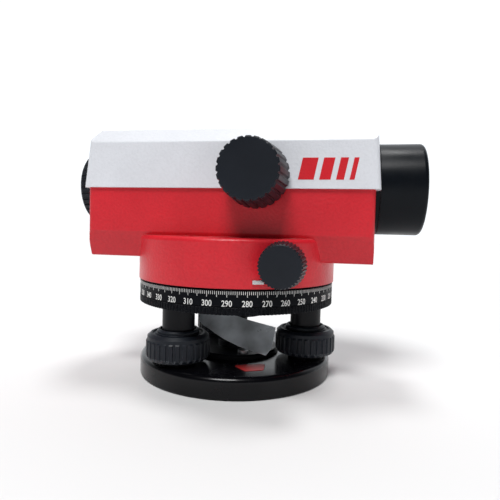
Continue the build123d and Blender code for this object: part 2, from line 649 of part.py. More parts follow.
def build_cover():
    """White cover over the telescope, its four screws and the bush of the focusing shaft."""
    top = COVER_LEVELS[-1][0]
    cover = cut(
        cover_form(0), cover_form(COVER_WALL),
        rod("Y", FOCUS_BUSH_RADIUS, -40, -20, FOCUS_X, FOCUS_Z),
        *barrel_saddle(),
    )
    screws = []
    for x in (COVER_LEVELS[-1][1] + COVER_SCREW_INSET_X, COVER_LEVELS[-1][2] - COVER_SCREW_INSET_X):
        for y in (-COVER_SCREW_Y, COVER_SCREW_Y):
            cone = Pos(x, y, top - 1.6) * Cone(COVER_SCREW_SHANK, COVER_SCREW_HEAD, 1.6, align=LOW)
            shank = rod("Z", COVER_SCREW_SHANK, top - COVER_SCREW_LENGTH, top - 1.6, x, y)
            cross = Pos(x, y, top - 0.4) * (Box(3.4, 0.7, 0.8) + Box(0.7, 3.4, 0.8))
            cover = cover - cone - rod("Z", COVER_SCREW_SHANK, top - 6, top, x, y)
            screws.append(cone + shank - cross)
    NODES["top_cover"] = cover
    NODES["cover_screws"] = group(screws)
    flange_back = FOCUS_KNOB_REAR + 0.5
    cover_face = -COVER_LEVELS[0][3] + 0.2
    bush = rod("Y", FOCUS_BUSH_FLANGE, flange_back, cover_face, FOCUS_X, FOCUS_Z)
    bush = bush - cover_form(0)
    bush = bush + rod("Y", FOCUS_BUSH_RADIUS, cover_face, RACK_OUTER_Y - 0.8, FOCUS_X, FOCUS_Z)
    NODES["focus_bush"] = bush - rod("Y", FOCUS_SHAFT_RADIUS + RUN, -60, 0, FOCUS_X, FOCUS_Z)


def build_spindle():
    """Vertical spindle that hangs from the turret roof into the bearing of the tribrach."""
    flange_low = AXIS_SLEEVE_TOP + AXIS_THRUST_GAP
    spindle = rod("Z", AXIS_RADIUS - RUN, TRIBRACH_BOTTOM + SEAT, flange_low)
    spindle = spindle + rod("Z", SPINDLE_FLANGE_RADIUS, flange_low, TURRET_ROOF)
    screws = []
    for x, y in ring_places(SPINDLE_FLANGE_SCREW_CIRCLE, 4, 45):
        spindle = spindle - rod("Z", SMALL_SCREW_RADIUS, flange_low, TURRET_ROOF, x, y)
        spindle = spindle - rod("Z", 2 * SMALL_SCREW_RADIUS, flange_low, flange_low + 1.5, x, y)
        shank = rod("Z", SMALL_SCREW_RADIUS, flange_low + 1.5, TURRET_ROOF + 2.8, x, y)
        screws.append(shank + rod("Z", 2 * SMALL_SCREW_RADIUS, flange_low + 0.1, flange_low + 1.5, x, y))
    NODES["vertical_spindle"] = spindle
    NODES["spindle_screws"] = group(screws)


# ================================================================ slow-motion drive
def build_drive():
    """Worm wheel on the bearing, and the cross shaft with its worm, two knobs and two bushes."""
    pitch = 2 * pi * WHEEL_PITCH_RADIUS / WHEEL_TEETH
    wheel_low = DRIVE_Z - WHEEL_THICKNESS / 2
    wheel = toothed(WHEEL_PITCH_RADIUS - 1.0, WHEEL_PITCH_RADIUS + 0.3, WHEEL_TEETH, 0.26,
                    WHEEL_THICKNESS, 0.42)
    wheel = Pos(0, 0, wheel_low) * wheel
    NODES["worm_wheel"] = wheel - rod("Z", AXIS_SLEEVE_RADIUS + RUN, wheel_low, wheel_low + WHEEL_THICKNESS)

    length = WORM_TURNS * pitch
    path = Helix(pitch=pitch, height=length, radius=WORM_ROOT_RADIUS - 0.2)
    flank = Polygon((0, -0.62), (WORM_TIP_RADIUS - WORM_ROOT_RADIUS + 0.2, -0.28),
                    (WORM_TIP_RADIUS - WORM_ROOT_RADIUS + 0.2, 0.28), (0, 0.62), align=None)
    thread = sweep(Pos(WORM_ROOT_RADIUS - 0.2, 0, 0) * Rot(90, 0, 0) * flank, path=path, is_frenet=True)
    worm = rod("Z", WORM_ROOT_RADIUS, -1.5, length + 1.5) + thread
    gap_to_wheel = 180 - 360 * (WORM_TURNS / 2 + 0.5)
    turn = Pos(DRIVE_X, -length / 2, DRIVE_Z) * Rot(-90, 0, 0) * Rot(0, 0, gap_to_wheel)
    NODES["drive_worm"] = turn * worm - rod("Y", DRIVE_SHAFT_RADIUS, -20, 20, DRIVE_X, DRIVE_Z)

    reach = DRIVE_KNOB_FRONT - 3.0
    NODES["drive_shaft"] = rod("Y", DRIVE_SHAFT_RADIUS, -reach, reach, DRIVE_X, DRIVE_Z)
    depth = DRIVE_KNOB_FRONT - DRIVE_KNOB_REAR
    grip = tapered_grip(DRIVE_KNOB_RADIUS, DRIVE_KNOB_FACE_RADIUS, 0.5, DRIVE_KNOB_RIBS, 0.42, 0.8, depth)
    grip = grip - rod("Z", DRIVE_SHAFT_RADIUS, 0, depth - 3.0)
    near = Pos(DRIVE_X, -DRIVE_KNOB_REAR, DRIVE_Z) * Rot(90, 0, 0) * grip
    far = Pos(DRIVE_X, DRIVE_KNOB_REAR, DRIVE_Z) * Rot(-90, 0, 0) * grip
    NODES["drive_knob_near"] = near
    NODES["drive_knob_far"] = far

    bushes = []
    inner_wall = sqrt((TURRET_RADIUS - TURRET_WALL) ** 2 - DRIVE_X ** 2) - 4.0
    outside = Pos(0, 0, TURRET_BOTTOM) * Cylinder(TURRET_RADIUS, TURRET_TOP - TURRET_BOTTOM, align=LOW)
    for side in (-1, 1):
        low, high = sorted((side * inner_wall, side * (DRIVE_KNOB_REAR - 0.5)))
        barrel = rod("Y", DRIVE_BUSH_RADIUS, low, high, DRIVE_X, DRIVE_Z)
        boss_low, boss_high = sorted((side * 40.0, side * (DRIVE_KNOB_REAR - 0.5)))
        boss = rod("Y", DRIVE_BUSH_FLANGE, boss_low, boss_high, DRIVE_X, DRIVE_Z) - outside
        bush = barrel + boss
        bushes.append(bush - rod("Y", DRIVE_SHAFT_RADIUS + RUN, low - 1, high + 1, DRIVE_X, DRIVE_Z))
    NODES["drive_bushes"] = group(bushes)


# ================================================================ focusing
def build_focus():
    """Focusing knob on its pinion shaft, and the lens carriage that the pinion drives by a rack."""
    depth = FOCUS_KNOB_REAR - FOCUS_KNOB_FRONT
    knob = tapered_grip(FOCUS_KNOB_RADIUS, FOCUS_FACE_RADIUS, 0.8, FOCUS_KNOB_RIBS, 0.55, 0.85, depth)
    knob = knob - rod("Z", FOCUS_SHAFT_RADIUS, 0, depth - 4.0)
    NODES["focus_knob"] = Pos(FOCUS_X, FOCUS_KNOB_REAR, FOCUS_Z) * Rot(90, 0, 0) * knob

    carriage_radius = TELESCOPE_BORE - RUN
    pinion_inner = -(carriage_radius + 0.25)
    pinion_length = pinion_inner - RACK_OUTER_Y
    step = 2 * pi * PINION_PITCH_RADIUS / PINION_TEETH
    gear = toothed(PINION_PITCH_RADIUS - TOOTH_DEDENDUM, PINION_PITCH_RADIUS + TOOTH_ADDENDUM,
                   PINION_TEETH, 0.2, pinion_length, 0.5, phase=90)
    gear = Pos(FOCUS_X, RACK_OUTER_Y, FOCUS_Z) * Rot(-90, 0, 0) * gear
    shaft = rod("Y", FOCUS_SHAFT_RADIUS, FOCUS_KNOB_FRONT + 4.0, RACK_OUTER_Y, FOCUS_X, FOCUS_Z)
    NODES["focus_pinion"] = gear + shaft

    middle = FOCUS_X
    rear = middle - CARRIAGE_LENGTH / 2
    front = middle + CARRIAGE_LENGTH / 2
    NODES["focus_carriage"] = tube("X", carriage_radius, carriage_radius - CARRIAGE_WALL, rear, front,
                                   0, SIGHT_Z)
    NODES["focus_lens"] = lens(middle - 2.0, middle + 2.0, carriage_radius - CARRIAGE_WALL, 1.1, -1.1)
    pitch_z = FOCUS_Z - PINION_PITCH_RADIUS
    rack = block(middle - RACK_LENGTH / 2, middle + RACK_LENGTH / 2, RACK_OUTER_Y, -8.0,
                 pitch_z - TOOTH_DEDENDUM - RACK_DEPTH, pitch_z - TOOTH_DEDENDUM)
    teeth = int(RACK_LENGTH / step / 2)
    for tooth in range(-teeth, teeth + 1):
        centre = middle + (tooth + 0.5) * step
        if abs(centre - middle) > RACK_LENGTH / 2 - 0.5:
            continue
        flank = Polygon((centre - 0.36, pitch_z - TOOTH_DEDENDUM), (centre + 0.36, pitch_z - TOOTH_DEDENDUM),
                        (centre + 0.16, pitch_z + TOOTH_ADDENDUM), (centre - 0.16, pitch_z + TOOTH_ADDENDUM),
                        align=None)
        rack = rack + extrude(Plane.XZ.offset(-pinion_inner) * flank, amount=pinion_length)
    NODES["focus_rack"] = rack - rod("X", carriage_radius, rear - 20, front + 20, 0, SIGHT_Z)


def build_telescope():
    """Objective barrel with its cemented pair of lenses, and the inner tube that guides the carriage."""
    barrel = rod("X", BARREL_RADIUS, BARREL_SHOULDER, OBJECTIVE_END, 0, SIGHT_Z)
    barrel = fillet(barrel.edges().group_by(Axis.X)[-1], BARREL_ROUND)
    barrel = barrel + rod("X", BARREL_NECK_RADIUS, BARREL_REAR, BARREL_SHOULDER, 0, SIGHT_Z)
    barrel = cut(
        barrel,
        rod("X", HOOD_BORE, OBJECTIVE_END - HOOD_DEPTH, OBJECTIVE_END, 0, SIGHT_Z),
        rod("X", BARREL_BORE, LENS_SEAT_X, OBJECTIVE_END - HOOD_DEPTH, 0, SIGHT_Z),
        rod("X", LENS_SEAT_RADIUS, LENS_SEAT_X - LENS_SEAT, LENS_SEAT_X, 0, SIGHT_Z),
        rod("X", BARREL_BORE, BARREL_REAR, LENS_SEAT_X - LENS_SEAT, 0, SIGHT_Z),
    )
    NODES["objective_barrel"] = barrel
    radius = BARREL_BORE - RUN
    NODES["objective_flint"] = lens(LENS_SEAT_X, LENS_SEAT_X + 3.0, radius, 0, -1.2)
    NODES["objective_crown"] = lens(LENS_SEAT_X + 3.05, LENS_SEAT_X + 7.0, radius, -1.2, 1.8)
    NODES["objective_retainer"] = tube("X", radius, LENS_SEAT_RADIUS, LENS_SEAT_X + 7.45, LENS_SEAT_X + 10.0,
                                       0, SIGHT_Z)
    outer = TELESCOPE_BORE + TELESCOPE_WALL
    inner_tube = rod("X", outer, TELESCOPE_REAR, BARREL_REAR + 5.0, 0, SIGHT_Z)
    inner_tube = inner_tube + rod("X", BARREL_BORE, BARREL_REAR + 2.0, BARREL_REAR + 5.0, 0, SIGHT_Z)
    reach = RACK_LENGTH / 2 + FOCUS_TRAVEL + 0.6
    pitch_z = FOCUS_Z - PINION_PITCH_RADIUS
    NODES["telescope_tube"] = cut(
        inner_tube,
        rod("X", TELESCOPE_BORE, TELESCOPE_REAR, BARREL_REAR + 5.0, 0, SIGHT_Z),
        block(FOCUS_X - reach, FOCUS_X + reach, -20, -7.5, pitch_z - RACK_DEPTH - 1.0, pitch_z + 0.8),
        block(FOCUS_X - 5.0, FOCUS_X + 5.0, -20, -7.5, pitch_z, pitch_z + 9.0),
    )


# ================================================================ eyepiece
def room_inside():
    """Room inside the housing and its cover, as one solid."""
    body = block(BODY_LEFT + BODY_WALL, BODY_RIGHT - BODY_WALL, -BODY_HALF_WIDTH + BODY_WALL,
                 BODY_HALF_WIDTH - BODY_WALL, BODY_FLOOR, SEAM_Z)
    return body + cover_form(COVER_WALL)


def build_eyepiece():
    """Eyepiece mount, ridged ring, sliding cell with two lenses, and the reticle."""
    inside = BODY_LEFT + BODY_WALL
    mount_end = EYEPIECE_END + EYE_RING_LIP + SEAT
    flange = rod("X", EYE_MOUNT_FLANGE, inside, inside + 2.0, 0, SIGHT_Z) & room_inside()
    mount = flange + rod("X", EYE_MOUNT_RADIUS, mount_end, EYE_MOUNT_INNER, 0, SIGHT_Z)
    NODES["eyepiece_mount"] = mount - rod("X", EYE_MOUNT_BORE, mount_end, EYE_MOUNT_INNER, 0, SIGHT_Z)

    width = EYE_RING_REAR - EYEPIECE_END
    ring = toothed(EYE_RING_RADIUS - 0.7, EYE_RING_RADIUS, EYE_RING_RIDGES, 0.5, width, 0.8)
    ring = ring & chamfered(EYE_RING_RADIUS, width, (0.5, 0.5), (1.2, 1.2))
    ring = Pos(EYE_RING_REAR, 0, SIGHT_Z) * Rot(0, -90, 0) * ring
    NODES["eyepiece_ring"] = cut(
        ring,
        rod("X", EYE_MOUNT_RADIUS + RUN, EYEPIECE_END + EYE_RING_LIP, EYE_RING_REAR, 0, SIGHT_Z),
        rod("X", EYE_MOUNT_BORE + 0.3, EYEPIECE_END, EYE_RING_REAR, 0, SIGHT_Z),
    )
    cell_radius = EYE_MOUNT_BORE - RUN
    bore = cell_radius - EYE_CELL_WALL
    NODES["eyepiece_cell"] = tube("X", cell_radius, bore, EYE_CELL_OUTER, EYE_CELL_INNER, 0, SIGHT_Z)
    eye = lens(EYE_CELL_OUTER + 2.0, EYE_CELL_OUTER + 4.5, bore, -1.4, 0.8)
    field = lens(EYE_CELL_INNER - 5.0, EYE_CELL_INNER - 2.5, bore, -0.8, 1.4)
    NODES["eyepiece_lenses"] = group([eye, field])
    NODES["reticle_cell"] = tube("X", EYE_MOUNT_BORE, 9.0, RETICLE_X - 1.0, RETICLE_X, 0, SIGHT_Z) + tube(
        "X", EYE_MOUNT_BORE, 11.0, RETICLE_X, RETICLE_X + 3.0, 0, SIGHT_Z)
    NODES["reticle_glass"] = rod("X", 11.0, RETICLE_X, RETICLE_X + 1.2, 0, SIGHT_Z)


# ================================================================ compensator
def build_compensator():
    """Frame with two fixed prisms and damping magnets, and the pendulum with its own prism."""
    half = COMP_HALF_WIDTH
    inner = half - COMP_WALL
    cheek_near = block(COMP_LEFT, COMP_RIGHT, -half, -inner, COMP_BOTTOM, COMP_TOP)
    cheek_far = block(COMP_LEFT, COMP_RIGHT, inner, half, COMP_BOTTOM, COMP_TOP)
    floor = block(COMP_LEFT, COMP_RIGHT, -inner, inner, COMP_BOTTOM, COMP_BOTTOM + COMP_WALL)
    leg = block(COMP_LEFT + 4, COMP_RIGHT - 4, -inner, inner, BODY_FLOOR, COMP_BOTTOM)
    frame = cheek_near + cheek_far + floor + leg
    NODES["compensator_frame"] = frame - rod("Y", PIVOT_RADIUS + RUN, -half, half, PIVOT_X, PIVOT_Z)

    def prism(front, back):
        """Right-angle prism between the cheeks, its square face at `front` across the line of sight."""
        outline = Polygon((front, SIGHT_Z - 8), (front, SIGHT_Z + 8), (back, SIGHT_Z), align=None)
        return extrude(Plane.XZ * outline, amount=inner, both=True)

    NODES["fixed_prisms"] = group([
        prism(COMP_RIGHT - 0.5, COMP_RIGHT - 7.5),
        prism(COMP_LEFT + 0.5, COMP_LEFT + 7.5),
    ])
    magnet_low = COMP_BOTTOM + COMP_WALL
    NODES["damper_magnets"] = group([
        block(PIVOT_X - 8, PIVOT_X - 3.5, -6, 6, magnet_low, magnet_low + 8),
        block(PIVOT_X + 3.5, PIVOT_X + 8, -6, 6, magnet_low, magnet_low + 8),
    ])
    swing = inner - PENDULUM_GAP
    window = block(PIVOT_X - 3, PIVOT_X + 3, -7.5, 7.5, SIGHT_Z - 7.5, SIGHT_Z + 7.5)
    arm = block(PIVOT_X - 1.4, PIVOT_X + 1.4, -swing, swing, SIGHT_Z - 10, PIVOT_Z + 2.5)
    vane = block(PIVOT_X - 1.4, PIVOT_X + 1.4, -5, 5, PENDULUM_BOTTOM, SIGHT_Z - 10)
    NODES["pendulum_arm"] = arm - window + vane + rod("Y", PIVOT_RADIUS, -half, half, PIVOT_X, PIVOT_Z)
    NODES["pendulum_mirror"] = block(PIVOT_X - 1.0, PIVOT_X + 1.0, -7.5, 7.5, SIGHT_Z - 7.5, SIGHT_Z + 7.5)


# ================================================================ circular level, mirror, pointer
def level_stem_hole():
    """Hole in the turret shoulder for the stem of the level cup."""
    return rod("Z", 3.0, TURRET_ROOF, TURRET_TOP, LEVEL_X, LEVEL_Y)


def build_level():
    """Circular level in its cup on the turret shoulder, with a folding mirror on a bracket beside it."""
    top = TURRET_TOP + LEVEL_HEIGHT
    cup = rod("Z", LEVEL_RADIUS, TURRET_TOP, top, LEVEL_X, LEVEL_Y)
    cup = chamfer(cup.edges().group_by(Axis.Z)[-1], 0.8)
    vial_radius = LEVEL_RADIUS - LEVEL_WALL
    cup = cup - rod("Z", vial_radius, TURRET_TOP + 1.6, top, LEVEL_X, LEVEL_Y)
    NODES["level_cup"] = cup + rod("Z", 3.0, TURRET_ROOF, TURRET_TOP, LEVEL_X, LEVEL_Y)
    vial = rod("Z", vial_radius, TURRET_TOP + 1.6, top - 1.2, LEVEL_X, LEVEL_Y)
    dome_rise = 0.9
    curve = (vial_radius ** 2 + dome_rise ** 2) / (2 * dome_rise)
    dome = Pos(LEVEL_X, LEVEL_Y, top - 0.3 - curve) * Sphere(curve)
    column = rod("Z", vial_radius, TURRET_TOP + 1.6, top + 2, LEVEL_X, LEVEL_Y)
    NODES["level_vial"] = vial + (dome & column & block(-40, 40, 20, 60, top - 1.2, top + 2))

    near = BODY_HALF_WIDTH
    pin_low = near + 1.0
    arm_y = near + 2.6
    far_y = arm_y + BRACKET_WALL + SEAT + MIRROR_WIDTH + SEAT
    foot_low = TURRET_TOP
    ear_size = 2.6
    ears = []
    for y in (arm_y, far_y):
        post = block(MIRROR_PIN_X - 1.0, MIRROR_PIN_X + 2 * ear_size, y, y + BRACKET_WALL, foot_low,
                     MIRROR_PIN_Z)
        ears.append(post + rod("Y", ear_size, y, y + BRACKET_WALL, MIRROR_PIN_X, MIRROR_PIN_Z))
    sole = block(MIRROR_PIN_X - 1.0, MIRROR_PIN_X + 2 * ear_size, arm_y, far_y + BRACKET_WALL, foot_low,
                 foot_low + 1.4)
    bracket = ears[0] + ears[1] + sole
    NODES["mirror_bracket"] = bracket - rod("Y", MIRROR_PIN_RADIUS + RUN, 20, 70, MIRROR_PIN_X, MIRROR_PIN_Z)

    wide_low = arm_y + BRACKET_WALL + SEAT
    wide_high = far_y - SEAT
    flap = block(-MIRROR_LENGTH, 0, wide_low, wide_high, -MIRROR_FRAME, MIRROR_FRAME)
    glass = block(-MIRROR_LENGTH + 1.4, -2.6, wide_low + 1.4, wide_high - 1.4, -MIRROR_FRAME,
                  -MIRROR_FRAME + 1.0)
    barrel = rod("Y", 2.0, wide_low, wide_high, 0, 0)
    pin = rod("Y", MIRROR_PIN_RADIUS, arm_y - 0.4, far_y + BRACKET_WALL + 0.4, 0, 0)
    swing = Pos(MIRROR_PIN_X, 0, MIRROR_PIN_Z) * Rot(0, MIRROR_ANGLE, 0)
    NODES["mirror_flap"] = swing * (flap - glass + barrel + pin)
    NODES["mirror_glass"] = swing * (glass - barrel)


def build_pointer():
    """Bright index on the turret wall, its tip over the top edge of the circle."""
    band = tube("Z", TURRET_RADIUS + POINTER_THICKNESS, TURRET_RADIUS, POINTER_BOTTOM, POINTER_TOP)
    reach = TURRET_RADIUS + 5
    spread = radians(POINTER_SPAN / 2)
    wedge = Polygon((0, 0), (reach * cos(spread), -reach * sin(spread)),
                    (reach * cos(spread), reach * sin(spread)), align=None)
    wedge = Pos(0, 0, POINTER_BOTTOM) * extrude(wedge, amount=POINTER_TOP - POINTER_BOTTOM)
    NODES["circle_pointer"] = Rot(0, 0, POINTER_ANGLE) * (band & wedge)


def main():
    """Build every node and write one STEP file for each."""
    build_base()
    build_boss()
    build_foot_screws()
    build_tribrach()
    build_circle()
    build_housing()
    build_cover()
    build_spindle()
    build_drive()
    build_focus()
    build_telescope()
    build_eyepiece()
    build_compensator()
    build_level()
    build_pointer()
    os.makedirs("parts", exist_ok=True)
    for name, shape in NODES.items():
        export_step(shape, "parts/" + name + ".step")
    print(len(NODES), "nodes")


main()
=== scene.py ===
"""Looks of an automatic level: finishes for its castings, mouldings and turned parts, the figured circle,
the trim on the cover, the level's bubble, and the studio they stand in."""

import json
import logging
import math
from dataclasses import dataclass
from enum import Enum
from typing import Any

import bmesh
import bpy
from mathutils import Matrix, Vector

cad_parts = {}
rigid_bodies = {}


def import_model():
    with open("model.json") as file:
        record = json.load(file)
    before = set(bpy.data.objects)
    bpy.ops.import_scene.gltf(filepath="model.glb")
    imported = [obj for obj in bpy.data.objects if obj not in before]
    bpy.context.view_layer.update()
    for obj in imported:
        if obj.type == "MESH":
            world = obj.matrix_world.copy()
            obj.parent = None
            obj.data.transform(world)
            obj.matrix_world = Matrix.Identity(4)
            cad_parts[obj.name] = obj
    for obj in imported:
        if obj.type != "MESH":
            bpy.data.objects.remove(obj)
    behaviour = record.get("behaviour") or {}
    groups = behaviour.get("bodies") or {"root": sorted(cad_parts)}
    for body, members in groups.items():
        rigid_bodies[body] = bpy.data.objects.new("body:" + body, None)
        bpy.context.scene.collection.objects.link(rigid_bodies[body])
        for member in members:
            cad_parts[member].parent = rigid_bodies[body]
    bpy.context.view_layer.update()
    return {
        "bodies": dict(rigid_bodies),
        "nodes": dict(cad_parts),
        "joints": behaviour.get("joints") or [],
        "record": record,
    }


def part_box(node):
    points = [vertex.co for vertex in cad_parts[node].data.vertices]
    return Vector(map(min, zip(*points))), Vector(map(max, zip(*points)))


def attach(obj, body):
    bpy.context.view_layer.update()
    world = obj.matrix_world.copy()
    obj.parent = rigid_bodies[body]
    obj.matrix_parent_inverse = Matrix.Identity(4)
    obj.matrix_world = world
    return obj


LOG = logging.getLogger("automatic_level")
MM = 0.001
Colour = tuple[float, float, float]


class Marks(Enum):
    """How far apart a finish's marks lie along each axis, as shares of its scale."""

    EVEN = (1.0, 1.0, 1.0)
    RINGS_ABOUT_X = (1.0, 0.03, 0.03)
    RINGS_ABOUT_Z = (0.03, 0.03, 1.0)
    DRAWN_ALONG_X = (0.02, 1.0, 1.0)


class Graph:
    """A material's node tree, with short calls that add and join nodes."""

    def __init__(self, name: str) -> None:
        """Starts an empty tree.

        Args:
            name: Name of the material.
        """
        self.material = bpy.data.materials.new(name)
        self.material.use_nodes = True
        self.tree = self.material.node_tree
        self.tree.nodes.clear()

    def node(self, kind: str, inputs: dict[str, Any] | None = None, **settings: Any) -> bpy.types.Node:
        """Adds a node.

        Args:
            kind: Node type, without its common prefix.
            inputs: Socket names with the value or the output socket that each takes.
            **settings: Properties of the node itself.

        Returns:
            The new node.
        """
        made = self.tree.nodes.new("ShaderNode" + kind)
        for key, value in settings.items():
            setattr(made, key, value)
        for key, value in (inputs or {}).items():
            if isinstance(value, bpy.types.NodeSocket):
                self.tree.links.new(value, made.inputs[key])
            else:
                made.inputs[key].default_value = value
        return made

    def place(self, marks: Marks = Marks.EVEN) -> bpy.types.NodeSocket:
        """Point on the piece in metres, drawn out along the marks.

        Args:
            marks: Direction in which the marks run.

        Returns:
            The vector socket.
        """
        spot = self.node("TexCoord").outputs["Object"]
        if marks is Marks.EVEN:
            return spot
        return self.node("Mapping", {"Vector": spot, "Scale": marks.value}).outputs["Vector"]

    def noise(self, scale: float, detail: float = 2.0, marks: Marks = Marks.EVEN) -> bpy.types.NodeSocket:
        """Soft random height.

        Args:
            scale: Features per metre.
            detail: Octaves of finer noise.
            marks: Direction in which the marks run.

        Returns:
            The height socket, from 0 to 1.
        """
        texture = self.node("TexNoise", {"Vector": self.place(marks), "Scale": scale, "Detail": detail})
        return texture.outputs["Fac"]

    def spread(self, value: bpy.types.NodeSocket, low: float, high: float,
               start: float = 0.3, end: float = 0.7) -> bpy.types.NodeSocket:
        """Maps a height to a range of values.

        Args:
            value: Height socket.
            low: Result at the start.
            high: Result at the end.
            start: Height where the range starts.
            end: Height where it ends.

        Returns:
            The value socket.
        """
        mapped = self.node("MapRange", {"Value": value, "From Min": start, "From Max": end,
                                        "To Min": low, "To Max": high})
        return mapped.outputs["Result"]

    def mix(self, share: bpy.types.NodeSocket, first: Any, second: Any) -> bpy.types.NodeSocket:
        """Mixes two colours.

        Args:
            share: Socket that says how much of the second shows.
            first: Colour or colour socket.
            second: Colour or colour socket.

        Returns:
            The mixed colour's socket.
        """
        mixer = self.node("Mix", data_type="RGBA")
        for slot_index, value in ((0, share), (6, first), (7, second)):
            if isinstance(value, bpy.types.NodeSocket):
                self.tree.links.new(value, mixer.inputs[slot_index])
            else:
                mixer.inputs[slot_index].default_value = (*value, 1.0)
        return mixer.outputs[2]

    def edges(self, radius: float) -> tuple[bpy.types.NodeSocket, bpy.types.NodeSocket]:
        """Finds the edges of the piece.

        Args:
            radius: How far from an edge the light bends round it, in metres.

        Returns:
            The rounded normal, and a socket that rises from 0 on flats to 1 on edges.
        """
        rounded = self.node("Bevel", {"Radius": radius}, samples=6).outputs["Normal"]
        flat = self.node("NewGeometry").outputs["Normal"]
        dot = self.node("VectorMath", {0: rounded, 1: flat}, operation="DOT_PRODUCT")
        return rounded, self.spread(dot.outputs["Value"], 1.0, 0.0, 0.80, 0.985)

    def close(self, shader: bpy.types.Node) -> bpy.types.Material:
        """Joins the shader to the output.

        Args:
            shader: Shader node that finishes the tree.

        Returns:
            The material.
        """
        self.node("OutputMaterial", {"Surface": shader.outputs[0]})
        return self.material


@dataclass(frozen=True)
class Finish:
    """A surface of one colour family with its grain, drift of tone, polish and edge wear, and, where a band
    is set, a painted highlight on the edges within it.
    """

    name: str
    colour: Colour
    roughness: float
    metallic: float = 0.0
    drift: float = 0.10
    drift_scale: float = 45.0
    polish_spread: float = 0.06
    grain_scale: float = 900.0
    grain_detail: float = 2.0
    grain_height: float = 0.02 * MM
    grain_tone: float = 0.06
    marks: Marks = Marks.EVEN
    edge_radius: float = 0.35 * MM
    # Colour of worn edges, and of the painted highlight in the band where one is set.
    wear_colour: Colour = (0.5, 0.5, 0.5)
    wear: float = 0.15
    coat: float = 0.0
    coat_roughness: float = 0.1
    specular: float = 0.5
    # Heights of a band whose edges are painted lighter as a painted highlight (glint), not as wear.
    rubbed_band: tuple[float, float] | None = None

    def shade(self, factor: float) -> Colour:
        """The colour made lighter or darker by a factor."""
        return tuple(min(1.0, part * factor) for part in self.colour)

    def rubbing(self, graph: Graph) -> bpy.types.NodeSocket:
        """Painted highlight: the wear colour laid on every edge within the band of heights, standing in for
        the glint of lit rib ends.

        Args:
            graph: Tree that takes the nodes.

        Returns:
            The socket of the painted highlight.
        """
        low, high = self.rubbed_band
        half = (high - low) / 2
        height = graph.node("SeparateXYZ", {0: graph.place()}).outputs["Z"]
        offset = graph.node("Math", {0: height, 1: (low + high) / 2}, operation="SUBTRACT").outputs[0]
        reach = graph.node("Math", {0: offset}, operation="ABSOLUTE").outputs[0]
        return graph.spread(reach, 3.0, 0.0, half * 0.8, half)

    def material(self) -> bpy.types.Material:
        """Builds the material.

        Returns:
            The finished material.
        """
        graph = Graph(self.name)
        grain = graph.noise(self.grain_scale, self.grain_detail, self.marks)
        patches = graph.noise(self.drift_scale, 3.0)
        colour = graph.mix(graph.spread(patches, 0.0, 1.0), self.shade(1 - self.drift),
                           self.shade(1 + self.drift))
        grain_share = graph.spread(grain, self.grain_tone * 4, 0.0, 0.25, 0.6)
        colour = graph.mix(grain_share, colour, self.shade(0.45))
        normal, edge = graph.edges(self.edge_radius)
        chips_and_painted_glint = graph.spread(graph.noise(self.grain_scale * 0.5, 4.0), 0.0, self.wear, 0.42, 0.62)
        # Painted highlight: edges within the band take the lighter wear colour as if they glinted; elsewhere
        # the spots are real chipped wear.
        if self.rubbed_band:
            chips_and_painted_glint = graph.node("Math", {0: chips_and_painted_glint, 1: self.rubbing(graph)}, operation="ADD").outputs[0]
        wear_and_painted_glint = graph.node("Math", {0: edge, 1: chips_and_painted_glint}, operation="MULTIPLY", use_clamp=True).outputs[0]
        colour = graph.mix(wear_and_painted_glint, colour, self.wear_colour)
        polish = graph.spread(graph.noise(self.drift_scale * 1.7, 4.0), self.roughness - self.polish_spread,
                              self.roughness + self.polish_spread)
        bumped = graph.node("Bump", {"Height": grain, "Normal": normal, "Strength": 1.0,
                                     "Distance": self.grain_height})
        shader = graph.node("BsdfPrincipled", {
            "Base Color": colour, "Metallic": self.metallic, "Roughness": polish, "Normal": bumped.outputs[0],
            "Coat Weight": self.coat, "Coat Roughness": self.coat_roughness,
            "Specular IOR Level": self.specular})
        if self.coat:
            graph.tree.links.new(normal, shader.inputs["Coat Normal"])
        return graph.close(shader)


@dataclass(frozen=True)
class GlassFinish:
    """Clear glass or spirit with a faint tint, smears, and a thin anti-glare film."""

    name: str
    colour: Colour
    roughness: float = 0.015
    refraction: float = 1.52
    film: float = 0.0
    smear_scale: float = 120.0

    def material(self) -> bpy.types.Material:
        """Builds the material.

        Returns:
            The finished material.
        """
        graph = Graph(self.name)
        smear = graph.noise(self.smear_scale, 4.0)
        dim = tuple(part * 0.93 for part in self.colour)
        shader = graph.node("BsdfPrincipled", {
            "Base Color": graph.mix(graph.spread(smear, 0.0, 1.0), self.colour, dim),
            "Roughness": graph.spread(smear, self.roughness, self.roughness + 0.01, 0.45, 0.75),
            "Transmission Weight": 1.0, "IOR": self.refraction, "Thin Film Thickness": self.film,
            "Thin Film IOR": 1.38})
        return graph.close(shader)


WHITE_ENAMEL = Finish("white_wrinkle_enamel", (0.75, 0.765, 0.81), 0.42, drift=0.03, grain_scale=800.0,
                      grain_height=0.14 * MM, grain_tone=0.02, wear_colour=(0.86, 0.88, 0.92), wear=0.5,
                      edge_radius=0.5 * MM, coat=0.15, coat_roughness=0.25)
RED_ENAMEL = Finish("red_wrinkle_enamel", (0.64, 0.016, 0.028), 0.36, drift=0.06, grain_scale=800.0,
                    grain_height=0.16 * MM, grain_tone=0.05, wear_colour=(0.80, 0.09, 0.09), wear=0.6,
                    edge_radius=0.5 * MM, specular=0.35, coat=0.05, coat_roughness=0.25)
BASE_ENAMEL = Finish("black_gloss_enamel", (0.002, 0.002, 0.003), 0.24, specular=0.10, drift=0.2,
                     grain_scale=500.0, grain_height=0.02 * MM, grain_tone=0.0,
                     wear_colour=(0.10, 0.10, 0.11), wear=0.5, edge_radius=0.6 * MM, coat=0.30,
                     coat_roughness=0.12)
